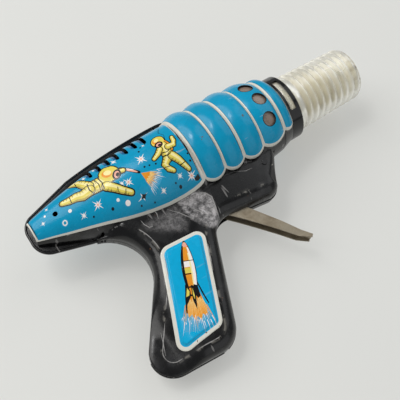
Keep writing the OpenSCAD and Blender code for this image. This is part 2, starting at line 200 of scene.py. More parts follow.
def metal(name, colour, tarnish, rough=(0.25, 0.5), grain=(1, 1, 1), dirt=0.5, metallic=1.0):
    """Bare metal with drawn grain, tarnish in patches and dark dirt."""
    p = Paint(name)
    lines = p.noise(260, 3, 0.6, stretch=grain)
    patch = p.range(p.noise(90, 5, 0.65, shift=(0.2, 0.1, 0)), 0.42, 0.68)
    base = p.mix(lines, shade(colour, 0.86), shade(colour, 1.12))
    base = p.mix(p.math("MULTIPLY", patch, 0.6), base, tarnish)
    black = p.math("MULTIPLY", p.range(p.noise(300, 4, 0.7, shift=(0.4, 0, 0.1)), 0.6, 0.72), dirt)
    base = p.mix(black, base, srgb(50, 42, 34))
    r = p.range(lines, 0.3, 0.7, *rough)
    r = p.math("ADD", r, p.math("MULTIPLY", patch, 0.2))
    return p.set(Base_Color=base, Roughness=r, Metallic=metallic, Normal=p.bump(lines, 0.04, 0.6))


def old_plastic():
    """Clear plastic gone ivory, hazy in its grooves, with grime at the mouth."""
    p = Paint("clear_ivory")
    haze = p.range(p.noise(60, 3, 0.5), 0.35, 0.7)
    base = p.mix(haze, srgb(231, 224, 200), srgb(244, 240, 224))
    grime = p.range(p.noise(260, 4, 0.7, shift=(0.1, 0.2, 0)), 0.48, 0.62)
    grime = p.math("MULTIPLY", grime, p.near((50, 0, 0), 15.2, 18.6))
    base = p.mix(grime, base, srgb(112, 98, 74))
    lines = p.range(p.noise(120, 3, 0.6, stretch=(2.2, 0.5, 0.5), shift=(0, 0.3, 0.1)), 0.55, 0.68)
    base = p.mix(p.math("MULTIPLY", lines, 0.45), base, srgb(170, 164, 146))
    flow = p.bump(p.noise(90, 2, 0.5, stretch=(0.5, 1, 1)), 0.3, 0.35)
    return p.set(Base_Color=base, Roughness=p.range(haze, 0.0, 1.0, 0.16, 0.28), Normal=flow, IOR=1.46,
                 Transmission_Weight=0.5, Coat_Weight=0.3)


def window_film():
    p = Paint("window_film")
    stain = p.noise(170, 5, 0.65)
    base = p.mix(stain, srgb(150, 122, 104), srgb(116, 112, 108))
    base = p.mix(p.range(p.noise(420, 3, 0.6), 0.5, 0.7, 0, 0.5), base, srgb(92, 74, 60))
    return p.set(Base_Color=base, Roughness=p.range(stain, 0.3, 0.7, 0.22, 0.45),
                 Normal=p.bump(p.noise(120, 2), 0.2, 0.6), Coat_Weight=0.4)


def stone(name, colour):
    p = Paint(name)
    grit = p.noise(1400, 3, 0.8)
    return p.set(Base_Color=p.mix(grit, shade(colour, 0.6), shade(colour, 1.4)), Roughness=0.9,
                 Normal=p.bump(grit, 0.15, 0.9))


ENAMEL = black_enamel("black_enamel")
RIM_BLACK = black_enamel("rim_enamel", 0.3)
PRINTS = [printed(name, srgb(*colour), *ageing) for name, colour, *ageing in (
    # colour, then how rubbed, how mottled and how rusty it is
    ("tin_blue", (0, 144, 184), 0.35, 0.16, 0.5),
    ("tin_cream", (214, 212, 202), 0.1, 0.05, 0.85),
    ("ink_white", (236, 230, 226), 0.05, 0.05, 0.5),
    ("ink_pink", (231, 170, 150), 0.05, 0.12, 0.5),
    ("ink_yellow", (220, 202, 88), 0.05, 0.2, 0.5),
    ("ink_pale_yellow", (238, 226, 158), 0.05, 0.1, 0.5),
    ("ink_orange", (226, 144, 40), 0.05, 0.16, 0.5),
    ("ink_black", (16, 16, 18), 0.05, 0.12, 0.5),
    ("ink_sky", (58, 158, 200), 0.05, 0.12, 0.5),
    # a darker blue used as painted shade beside the vent slots
    ("tin_deep_blue", (0, 92, 140), 0.35, 0.12, 0.5),
    ("tin_panel_blue", (0, 162, 208), 0.15, 0.12, 0.5),
    ("ink_ochre", (176, 158, 74), 0.05, 0.14, 0.5),
    ("bare_scratch", (150, 148, 146), 0.05, 0.3, 0.5),
    ("ink_rust", (96, 74, 56), 0.05, 0.3, 0.5))]
PRINTS.insert(2, ENAMEL)
INDEX = {m.name: i for i, m in enumerate(PRINTS)}
WHITE, PINK, ORANGE, OCHRE = "ink_white", "ink_pink", "ink_orange", "ink_ochre"
BLACK, SKY, YELLOW, PALE = "ink_black", "ink_sky", "ink_yellow", "ink_pale_yellow"

STEEL = metal("plain_steel", srgb(168, 164, 156), srgb(120, 104, 84), grain=(1, 3, 1))
TRIGGER_STEEL = metal("trigger_steel", srgb(158, 148, 130), srgb(112, 98, 78), (0.3, 0.5), (0.6, 1.6, 3),
                      dirt=0.35, metallic=0.85)
SPRING = metal("spring_steel", srgb(126, 124, 122), srgb(88, 80, 70), grain=(1, 1, 3))
BRASS = metal("brass", srgb(196, 160, 88), srgb(122, 92, 48), grain=(1, 1, 3))
ZINC = metal("cast_zinc", srgb(150, 150, 152), srgb(104, 104, 104), (0.4, 0.65))
ABRASIVE = stone("abrasive", srgb(96, 84, 80))
FLINT = stone("flint", srgb(58, 56, 58))
PLASTIC = old_plastic()
FILM = window_film()


# ---------------------------------------------------------------- outlines and regions

def arc_points(arc, inset, steps):
    cx, cy, r, a, b = arc
    if r == 0:
        return [(cx, cy)]
    r = max(r + (inset if b < a else -inset), 0.02)
    return [(cx + r * math.cos(math.radians(a + (b - a) * i / steps)),
             cy + r * math.sin(math.radians(a + (b - a) * i / steps))) for i in range(steps + 1)]


def outline(arcs, inset=0.0, steps=14):
    return [q for arc in arcs for q in arc_points(arc, inset, steps)]


def resample(points, pitch, closed=True):
    pts = np.array(points + [points[0]] if closed else points, float)
    out = []
    for a, b in zip(pts[:-1], pts[1:]):
        n = max(1, int(math.ceil(np.linalg.norm(b - a) / pitch)))
        out += [a + (b - a) * i / n for i in range(n)]
    if not closed:
        out.append(pts[-1])
    return np.array(out)


def within(poly, pts):
    """Which points lie inside a polygon."""
    poly, pts = np.asarray(poly, float), np.asarray(pts, float)
    low, high = poly.min(0), poly.max(0)
    res = np.zeros(len(pts), bool)
    idx = np.where(((pts >= low) & (pts <= high)).all(1))[0]
    if not len(idx):
        return res
    x, y = pts[idx, 0], pts[idx, 1]
    hit = np.zeros(len(idx), bool)
    for (x0, y0), (x1, y1) in zip(poly, np.roll(poly, -1, 0)):
        if y0 != y1:
            cross = (y0 > y) != (y1 > y)
            hit ^= cross & (x < (x1 - x0) * (y - y0) / (y1 - y0) + x0)
    res[idx] = hit
    return res


def to_line(points, line):
    """Nearest place on an open line: distance, the place, and which segment."""
    points = np.asarray(points, float)
    best = np.full(len(points), 1e9)
    near = np.zeros((len(points), 2))
    seg = np.zeros(len(points), int)
    for i, (a, b) in enumerate(zip(line[:-1], line[1:])):
        d = b - a
        t = np.clip(((points - a) @ d) / max(d @ d, 1e-12), 0, 1)
        q = a + t[:, None] * d
        dist = np.linalg.norm(points - q, axis=1)
        m = dist < best
        best[m], near[m], seg[m] = dist[m], q[m], i
    return best, near, seg


class Flat:
    """Lines and points in a plane that become one triangulated sheet with a material for every region."""

    def __init__(self):
        self.pts, self.edges, self.loops = [], [], []

    def line(self, points, closed=True):
        k = len(self.pts)
        self.pts += [tuple(map(float, q)) for q in points]
        n = len(points)
        self.edges += [(k + i, k + (i + 1) % n) for i in range(n if closed else n - 1)]

    def grid(self, points, gap):
        tree = kdtree.KDTree(len(self.pts))
        for i, q in enumerate(self.pts):
            tree.insert((q[0], q[1], 0), i)
        tree.balance()
        self.pts += [tuple(q) for q in points if tree.find((q[0], q[1], 0))[2] > gap]

    def triangles(self):
        verts, _, faces, _, _, _ = delaunay_2d_cdt([Vector(q) for q in self.pts], self.edges, [], 0, 1e-6)
        v = np.array([(q.x, q.y) for q in verts])
        f = np.array([t for t in faces], int)
        a, b, c = v[f[:, 0]], v[f[:, 1]], v[f[:, 2]]
        area = (b[:, 0] - a[:, 0]) * (c[:, 1] - a[:, 1]) - (b[:, 1] - a[:, 1]) * (c[:, 0] - a[:, 0])
        f[area < 0] = f[area < 0][:, ::-1]
        f = f[np.abs(area) > 1e-9]
        return v, f


def sheet_object(name, place, v, f, mats, thick, side, materials, attributes=None):
    """A closed sheet of metal whose outside is place(v); side -1 mirrors it to the left of the gun."""
    eps = 0.03
    used = np.unique(f)
    remap = -np.ones(len(v), int)
    remap[used] = np.arange(len(used))
    v, f = v[used], remap[f]
    p = place(v)
    du = place(v + [eps, 0]) - place(v - [eps, 0])
    dv = place(v + [0, eps]) - place(v - [0, eps])
    n = np.cross(du, dv)
    n /= np.maximum(np.linalg.norm(n, axis=1), 1e-12)[:, None]
    inner = p - n * thick
    if side < 0:
        for q in (p, n, inner):
            q[:, 2] *= -1
        f = f[:, ::-1]
    count = len(p)
    sides = {(t[i], t[(i + 1) % 3]): True for t in f for i in range(3)}
    rims = [(a, b) for (a, b) in sides if (b, a) not in sides]
    faces = [tuple(map(int, t)) for t in f] + [tuple(int(i) + count for i in t[::-1]) for t in f]
    faces += [(int(b), int(a), int(a) + count, int(b) + count) for a, b in rims]
    mesh = bpy.data.meshes.new(name)
    mesh.from_pydata([tuple(q) for q in world(np.vstack([p, inner]))], [], faces)
    dark = INDEX["black_enamel"]
    mesh.polygons.foreach_set("material_index", list(map(int, mats)) + [dark] * (len(f) + len(rims)))
    for m in materials:
        mesh.materials.append(m)
    mesh.polygons.foreach_set("use_smooth", [True] * (2 * len(f)) + [False] * len(rims))
    for key, values in (attributes or {}).items():
        a = mesh.attributes.new(key, "FLOAT", "POINT")
        a.data.foreach_set("value", np.concatenate([values[used], np.zeros(count)]).astype(np.float32))
    mesh.update()
    normals = []
    for poly in mesh.polygons:
        if poly.index < len(f):
            normals += [tuple(n[i]) for i in poly.vertices]
        elif poly.index < 2 * len(f):
            normals += [tuple(-n[i - count]) for i in poly.vertices]
        else:
            normals += [tuple(poly.normal)] * len(poly.vertices)
    mesh.normals_split_custom_set(normals)
    obj = bpy.data.objects.new(name, mesh)
    bpy.context.scene.collection.objects.link(obj)
    return obj


def plain_object(name, verts, faces, material, smooth=True):
    mesh = bpy.data.meshes.new(name)
    mesh.from_pydata([tuple(q) for q in world(verts)], [], faces)
    mesh.materials.append(material)
    mesh.polygons.foreach_set("use_smooth", [smooth] * len(mesh.polygons))
    mesh.update()
    obj = bpy.data.objects.new(name, mesh)
    bpy.context.scene.collection.objects.link(obj)
    return obj


# ---------------------------------------------------------------- the barrel's surface

GROOVE_X = np.array([-69.5, -56.5, -44.0, -31.0, -15.0, -7.5])
GROOVE_R = np.array([24.6, 24.4, 24.2, 24.0, 21.7, 19.2])
RIB_H = 2.0
BULGE_X, BULGE_R = -73.0, 24.8
TAIL = -159.4
CAP_ROUND = 1.0
TOP_FLAT = 2.1     # how far the bulge's top stays below a full circle
DEG = 0.4          # millimetres in the flat sheet for a degree round the barrel
SEAM = 89.8
BORDER = np.array([(-170, -52), (-160, -52), (-151, -51.5), (-142, -53), (-133, -54), (-125, -56),
                   (-114, -60.5), (-103, -63.5), (-93, -64.5), (-83, -63.5), (-77, -61.5), (-73, -59),
                   (-70.6, -56), (-69.5, -53)])    # the bulge's lower border: (x, degrees)
LINE_W, GROOVE_W = 2.3, 1.85      # widths of the off-white border and of the lines in the grooves
VENTS = [-87.5 - 5.5 * i for i in range(7)]
VENT_W, VENT_LOW, VENT_HIGH = 1.8, 28.0, 66.0
WINDOWS = [(-22.5, 31.0), (-21.0, 5.0), (-22.5, -25.0)]
# the second number is the width of the painted shadow ring round each window
WINDOW_R, WINDOW_SHADE_RING = 3.9, 0.35


def smooth(a, b, x):
    t = np.clip((x - a) / (b - a), 0, 1)
    return t * t * (3 - 2 * t)


def tube_at(x):
    """Plain radius and height of the barrel's middle at x."""
    s = np.maximum(BULGE_X - x, 0)
    ribbed = np.interp(x, np.append(BULGE_X, GROOVE_X), np.append(BULGE_R, GROOVE_R))
    return np.where(x > BULGE_X, ribbed, BULGE_R - 0.0023 * s * s), 0.0006 * s * s


def rib_share(x):
    """0 in a groove, 1 on a crest."""
    i = np.clip(np.searchsorted(GROOVE_X, x) - 1, 0, len(GROOVE_X) - 2)
    t = (x - GROOVE_X[i]) / (GROOVE_X[i + 1] - GROOVE_X[i])
    return np.where((t > 0) & (t < 1), np.sin(np.pi * np.clip(t, 0, 1)), 0.0)


def border_angle(x):
    """Where the blue print ends, in degrees round the barrel."""
    crest = rib_share(x)
    depth = np.where(x > -15, 51.5 + 4.5 * crest ** 0.5, 53 + 9.5 * crest ** 0.5)
    return np.where(x > GROOVE_X[0], -depth, np.interp(x, BORDER[:, 0], BORDER[:, 1]))


def barrel(v):
    """Flat sheet coordinates (along, round) to a place on the barrel."""
    u, th = v[:, 0], v[:, 1] / DEG
    x = np.maximum(u, TAIL)
    r, c = tube_at(x)
    crest = rib_share(x)
    fade = smooth(-4.5, 3.5, th - border_angle(x))
    r = r + RIB_H * (np.sqrt(crest ** 1.5 + 0.012) - 0.11) / 0.896 * fade
    for slot_x in VENTS:
        along = slot_x - VENT_W / 2 - x
        dip = np.where((along > -0.2) & (along < 3), 1 - np.clip(along, 0, 3) / 3, 0)
        ends = smooth(VENT_LOW - 5, VENT_LOW + 3, th) * (1 - smooth(VENT_HIGH - 3, VENT_HIGH + 4, th))
        r = r - 0.55 * dip ** 1.5 * ends
    q = np.maximum(TAIL - u, 0)
    turn = np.clip(q / (CAP_ROUND * math.pi / 2), 0, 1) * math.pi / 2
    past = np.maximum(q - CAP_ROUND * math.pi / 2, 0)
    x = x - CAP_ROUND * np.sin(turn) * 0.8
    r = r - CAP_ROUND * (1 - np.cos(turn)) - past
    a = np.radians(np.clip(th, -90, 90))
    flat_top = TOP_FLAT * smooth(38, 72, th) * (1 - smooth(-73.5, -69.5, x)) * np.clip(r / 20, 0, 1)
    return np.stack([x, c + r * np.sin(a) - flat_top, r * np.cos(a)], 1)


def flat_of(x, y):
    """Flat sheet coordinates of the place on the right side seen at (x, y)."""
    x, y = np.asarray(x, float), np.asarray(y, float)
    r, c = tube_at(x)
    return np.stack([x, np.degrees(np.arcsin(np.clip((y - c) / r, -1, 1))) * DEG], 1)


# ---------------------------------------------------------------- generic pictures, drawn as (x, y) shapes

def cap(x, y, dx, dy, w):
    """The inner points of a half circle of radius w round (x, y) that bulges along (dx, dy)."""
    turns = np.linspace(math.pi / 2, -math.pi / 2, 6)[1:-1]
    return [(x + w * (dx * math.cos(a) - dy * math.sin(a)), y + w * (dy * math.cos(a) + dx * math.sin(a)))
            for a in turns]


def limb(path, grow=0.0):
    """A rounded strip along (x, y, half width) points."""
    path = [(x, y, w + grow) for x, y, w in path]
    left, right = [], []
    n = len(path)
    for i, (x, y, w) in enumerate(path):
        x0, y0, _ = path[max(i - 1, 0)]
        x1, y1, _ = path[min(i + 1, n - 1)]
        k = math.hypot(x1 - x0, y1 - y0)
        dx, dy = (x1 - x0) / k, (y1 - y0) / k
        left.append((x - dy * w, y + dx * w))
        right.append((x + dy * w, y - dx * w))
        if i == 0:
            start = cap(x, y, -dx, -dy, w)
    return left + cap(x, y, dx, dy, w) + right[::-1] + start


def ellipse(x, y, a, b, turn=0.0, grow=0.0, n=18):
    c, s = math.cos(math.radians(turn)), math.sin(math.radians(turn))
    return [(x + (a + grow) * math.cos(t) * c - (b + grow) * math.sin(t) * s,
             y + (a + grow) * math.cos(t) * s + (b + grow) * math.sin(t) * c)
            for t in np.linspace(0, 2 * math.pi, n, endpoint=False)]


def star(x, y, r, turn=10.0, inner=0.26, points=8, long=1.0):
    out = []
    for i in range(points * 2):
        k = r * (inner if i % 2 else (1.0 if i % 4 == 0 else 0.62 * long))
        a = math.radians(turn + 180 * i / points)
        out.append((x + k * math.cos(a), y + k * math.sin(a)))
    return out


def fan(x, y, angle, spread, near, far, rays, rng, sharp=0.5):
    """Thin rays of light from a point."""
    out = []
    for i in range(rays):
        a = math.radians(angle + spread * ((i + 0.5) / rays - 0.5))
        w = math.radians(spread / rays * sharp)
        r, r0 = far * rng.uniform(0.72, 1.0), near * rng.uniform(0.9, 1.12)
        out.append([(x + k * math.cos(b), y + k * math.sin(b))
                    for k, b in ((r0, a - w), (r, a), (r0, a + w))])
    return out


def spaceman(parts, helmet, visor, lines, pack=None, edge=0.62):
    """Ink outlines, then suit, then helmet, glass and seams."""
    art = []
    hx, hy, ha, hb, ht = helmet
    vx, vy, va, vb, vt = visor
    shapes = ([pack] if pack else []) + parts
    art += [(BLACK, limb(q, edge)) for q in shapes]
    art.append((BLACK, ellipse(*helmet, grow=edge)))
    if pack:
        art.append((ORANGE, limb(pack)))
    for q in parts:
        art += [(BLACK, limb(q, 0.3)), (OCHRE, limb(q, -0.05)),
                (YELLOW, limb([(x + w * 0.12, y + w * 0.16, w * 0.78) for x, y, w in q])),
                (PALE, limb([(x + w * 0.2, y + w * 0.3, w * 0.34) for x, y, w in q]))]
        for (x0, y0, w0), (x1, y1, w1) in zip(q[:-1], q[1:]):
            k = math.hypot(x1 - x0, y1 - y0)
            nx, ny = (y1 - y0) / k, (x0 - x1) / k
            for t in (0.3, 0.72):
                x, y, w = x0 + (x1 - x0) * t, y0 + (y1 - y0) * t, w0 + (w1 - w0) * t
                fold = [(x + nx * w * k, y + ny * w * k, half) for k, half in ((0.95, 0.16), (0.3, 0.05))]
                art.append((BLACK, limb(fold)))
    art.append((YELLOW, ellipse(*helmet)))
    art.append((ORANGE, ellipse(hx - 1.0, hy + 0.5, ha * 0.52, hb * 0.5, ht)))
    art.append((PALE, ellipse(hx - 0.4, hy + 0.9, ha * 0.4, hb * 0.34, ht)))
    art.append((BLACK, ellipse(*visor, grow=0.55)))
    art.append((PINK, ellipse(vx, vy, va * 0.8, vb * 0.8, vt)))
    art.append((BLACK, ellipse(vx + 0.3, vy - 0.3, va * 0.5, vb * 0.5, vt)))
    art += [(BLACK, limb(q)) for q in lines]
    return art


def blots(x, y, spread, count, size, rng):
    """Small ragged rust spots round a place."""
    out = []
    for _ in range(count):
        a, d = rng.uniform(0, 2 * math.pi), spread * rng.random() ** 1.5
        r = size * rng.uniform(0.4, 1.0)
        spot = star(x + d * math.cos(a), y + d * math.sin(a), r, rng.uniform(0, 90), 0.6, 4)
        out.append(("ink_rust", spot))
    return out


def bulge_art():
    rng = random.Random(7)
    art = blots(-61.7, -2.4, 1.6, 7, 0.6, rng) + blots(-35.6, -2.6, 1.3, 7, 0.55, rng)
    stars = [(-153, 3.7, 1.6), (-134, -4.8, 2.3), (-125.5, -4.4, 3.4), (-95, 4, 3.7), (-82, -13.4, 2.1),
             (-76.3, -15.8, 3.4), (-93, -15.3, 2.2), (-106.8, -3.2, 3.2), (-110, -2, 2.0), (-107, 11.6, 2.2),
             (-124.2, 13, 1.7), (-78.4, -3, 1.6), (-148, 9.6, 1.4), (-117.5, 14.6, 1.5), (-89.6, 10.8, 1.2)]
    for x, y, r in stars:
        art.append((WHITE, star(x, y, r, rng.uniform(0, 40))))
        if r > 3:
            art.append((PINK, star(x, y, r * 0.42, rng.uniform(0, 40))))
    art.append((WHITE, star(-104, -12.8, 3.3, 12, 0.16, 4, 1.0)))
    art.append((BLACK, star(-103.4, -12.8, 1.9, 12, 0.45, 4, 1.2)))
    moons = [(-138.7, 1, 0.95), (-115.7, -7.8, 0.85), (-112, -11.4, 1.35), (-79.5, 3.4, 0.7),
             (-150.5, 6.6, 0.6)]
    for x, y, r in moons:
        art.append((WHITE, ellipse(x, y, r, r, n=12)))
    art += [(SKY, ellipse(-143.7, -2.4, 1.7, 1.7)), (WHITE, ellipse(-143.7, -2.4, 1.35, 1.35)),
            ("tin_blue", ellipse(-143.7, -2.4, 0.75, 0.75))]
    dots = [(-120, -9.8, 0.8), (-84, -17.6, 0.85), (-85.6, -15.2, 0.5), (-93.5, 8.6, 0.55), (-88, 11.6, 0.6),
            (-91.5, 10.4, 0.5), (-95.8, -0.8, 0.55), (-93.2, -1.4, 0.5), (-90, -2.4, 0.55),
            (-73.4, -9.6, 0.6), (-130, -7.8, 0.5), (-72.8, -5.8, 0.5), (-106.4, -15.6, 0.5),
            (-99.5, -17.4, 0.45)]
    for x, y, r in dots:
        art.append((BLACK, ellipse(x, y, r, r, n=10)))
    art.append((BLACK, [(-75.5, -17.4), (-72.6, -16.4), (-72.2, -18.4), (-73.6, -19), (-75.2, -18.6)]))
    # the large spaceman flies to the muzzle with a torch in its hand
    art.append((SKY, [(-99, -2.6), (-89.2, -5.4), (-89.8, -9.4), (-93.4, -12), (-98.8, -13.6)]))
    art.append((ORANGE, [(-99, -2.6), (-94.2, -4.6), (-94.6, -6.4), (-96, -8.0), (-98.6, -8.4)]))
    art += [(ORANGE, q) for q in fan(-99, -2.6, -55, 64, 4.6, 10.4, 11, rng, 1.0)]
    art += [(PALE, q) for q in fan(-99, -2.6, -54, 64, 4.4, 11.8, 10, rng, 0.36)]
    art += [(WHITE, q) for q in fan(-99, -2.6, -52, 72, 8.2, 13.6, 14, rng, 0.24)]
    art += [(BLACK, limb([(-106.8, 5.6, 0.95), (-103.2, 2.2, 1.0), (-99.6, -1.7, 0.75)])),
            (PINK, limb([(-106.4, 5.1, 0.55), (-103.2, 2.1, 0.6), (-100.4, -0.9, 0.35)])),
            (WHITE, limb([(-106.0, 5.3, 0.2), (-103.0, 2.6, 0.22), (-101.4, 1.0, 0.15)]))]
    art += spaceman(
        parts=[[(-115, 4.2, 3.0), (-119.4, 4.3, 3.7), (-124.6, 4.8, 3.5)],
               [(-124.4, 6.4, 2.6), (-126.8, 10.2, 2.2), (-128.2, 12.4, 1.9), (-131.4, 14.6, 1.5)],
               [(-125.4, 4.4, 3.0), (-129.6, 4.0, 2.7), (-133.0, 5.4, 2.3), (-136.6, 5.8, 1.9),
                 (-140, 6.8, 1.4)],
               [(-117.2, 1.2, 2.4), (-114.2, -1.8, 2.1), (-111.4, -5.0, 1.8), (-108, -8.2, 1.4)],
               [(-112.2, 4.4, 1.8), (-108.8, 4.6, 1.5), (-105.8, 3.8, 1.2)]],
        helmet=(-112.6, 6.6, 5.2, 4.5, -28), visor=(-109.6, 3.7, 1.7, 2.5, -40),
        lines=[[(-118.6, 8.0, 0.28), (-118.0, 4.4, 0.3), (-118.6, 0.8, 0.28)],
               [(-120.4, 8.0, 0.22), (-119.8, 4.4, 0.24), (-120.6, 0.8, 0.22)],
               [(-124.6, 8.2, 0.28), (-125.2, 4.6, 0.3), (-124.2, 1.4, 0.28)],
               [(-129.2, 13.8, 0.22), (-129.4, 11.4, 0.22)], [(-135.4, 7.6, 0.24), (-136.0, 4.2, 0.24)],
               [(-112.6, -2.4, 0.22), (-113.6, -4.4, 0.22)], [(-109.6, -5.4, 0.2), (-111.0, -7.6, 0.2)]])
    art += spaceman(
        parts=[[(-81.4, 4.8, 2.3), (-81.8, 1.4, 2.7), (-82.6, -2.6, 2.5)],
               [(-84.0, 3.4, 1.5), (-86.6, 1.4, 1.3), (-89.4, 0.2, 1.0)],
               [(-79.6, 2.6, 1.7), (-76.4, 2.2, 1.4), (-75.2, 4.2, 1.2), (-74.8, 6.4, 1.0)],
               [(-83.6, -3.2, 2.1), (-86.2, -5.4, 1.8), (-85.4, -8.0, 1.5), (-83.6, -9.8, 1.1)],
               [(-80.4, -2.8, 2.2), (-78.6, -6.2, 1.9), (-77.4, -9.4, 1.5), (-76.0, -12.6, 1.1)]],
        helmet=(-82.2, 8.4, 3.6, 3.1, 20), visor=(-82.9, 6.2, 1.9, 1.3, 12),
        lines=[[(-83.8, 1.0, 0.24), (-81.8, 0.2, 0.24), (-79.6, 0.8, 0.24)],
               [(-84.6, -1.2, 0.2), (-82.2, -1.6, 0.2), (-80.2, -1.2, 0.2)],
               [(-86.8, -6.4, 0.2), (-84.6, -7.0, 0.2)], [(-79.0, -9.2, 0.2), (-76.2, -8.8, 0.2)]],
        pack=[(-79.8, 6.4, 1.2), (-78.8, 3.2, 1.3), (-79.0, 0.6, 1.1)], edge=0.5)
    aerial = [(-78.6, 6.8), (-77.2, 10.2), (-78.6, 13.4), (-76.4, 16.4)]
    art.append((BLACK, limb([(x, y, 0.14) for x, y in aerial])))
    return art


# the rocket's half width at places behind its nose
HULL = [(0, 0.02), (2, 0.95), (5, 1.9), (9, 2.7), (14, 3.2), (19, 3.15), (24, 2.6), (29, 1.9)]


def rocket_art():
    rng = random.Random(11)
    nose, tail = np.array([-97.3, -41.4]), np.array([-112.0, -76.4])
    d = (tail - nose) / np.linalg.norm(tail - nose)
    p = np.array([-d[1], d[0]])

    def at(s, w):
        q = nose + d * s + p * w
        return (float(q[0]), float(q[1]))

    def hull(a, b, grow=0.0, left=-1.0, right=1.0):
        s = np.linspace(a, b, 9)
        w = np.interp(s, *zip(*HULL)) + grow
        return [at(q, left * k) for q, k in zip(s, w)] + [at(q, right * k) for q, k in zip(s[::-1], w[::-1])]

    art = [(SKY, [at(25, -3), at(46.5, -7.4), at(47.5, 0), at(44.5, 6.8), at(25, 3)]),
           (ORANGE, [at(25, -2.2), at(37, -4.6), at(40, -4.2), at(38.6, -2.6), at(41.4, -1.6), at(39.6, 0),
                     at(42, 1.6), at(39, 2.8), at(40.4, 4.8), at(36.5, 5.4), at(25, 2.4)])]
    apex = at(20, 0)
    angle = math.degrees(math.atan2(d[1], d[0]))
    art += [(ORANGE, q) for q in fan(*apex, angle, 42, 14, 27, 19, rng, 0.5)]
    art += [(PALE, q) for q in fan(*apex, angle + 1, 38, 11.5, 29, 19, rng, 0.26)]
    art += [(WHITE, q) for q in fan(*apex, angle - 1, 42, 21, 30, 21, rng, 0.25)]
    art += [(BLACK, limb([(*at(22, -2.6), 0.3), (*at(30, -4.0), 0.5), (*at(37.5, -4.9), 0.35)])),
            (BLACK, limb([(*at(22, 2.6), 0.3), (*at(29, 4.8), 0.4), (*at(34, 6.6), 0.3)])),
            (BLACK, hull(0, 29.6, 0.4)), (ORANGE, hull(0.8, 28.6)),
            (PINK, hull(1.0, 3.6)), (WHITE, hull(11.2, 14.4)), (YELLOW, hull(14.8, 17.6)),
            (BLACK, hull(17.7, 18.3)), (WHITE, hull(4, 28, 0, 0.5, 1.0)),
            (PALE, hull(7, 27, 0, 0.28, 0.5)), (BLACK, hull(10.9, 11.3)),
            (BLACK, hull(3, 28.6, 0, -1.0, -0.66)), (BLACK, hull(24.4, 25.2)),
            (BLACK, [at(23.4, -2.4), at(23.2, -3.4), at(30.6, -4.4), at(33.4, -3.9), at(30, -1.6),
                     at(27, -1.2)]),
            (YELLOW, [at(25, -2.7), at(29.6, -3.8), at(29.0, -2.2), at(27, -1.7)]),
            (BLACK, [at(23.6, 0.9), at(24.4, 2.8), at(30, 3.4), at(31, 1.9), at(28, 0.6)]),
            (BLACK, [at(23.8, -0.5), at(24.4, 1.0), at(30, 1.1), at(36.6, 0.6), at(31.4, -0.8)]),
            (YELLOW, [at(25.4, 0.0), at(29.4, 0.5), at(31.4, 0.3), at(29, -0.35)])]
    return art


# ---------------------------------------------------------------- the printed barrel, one sheet a side

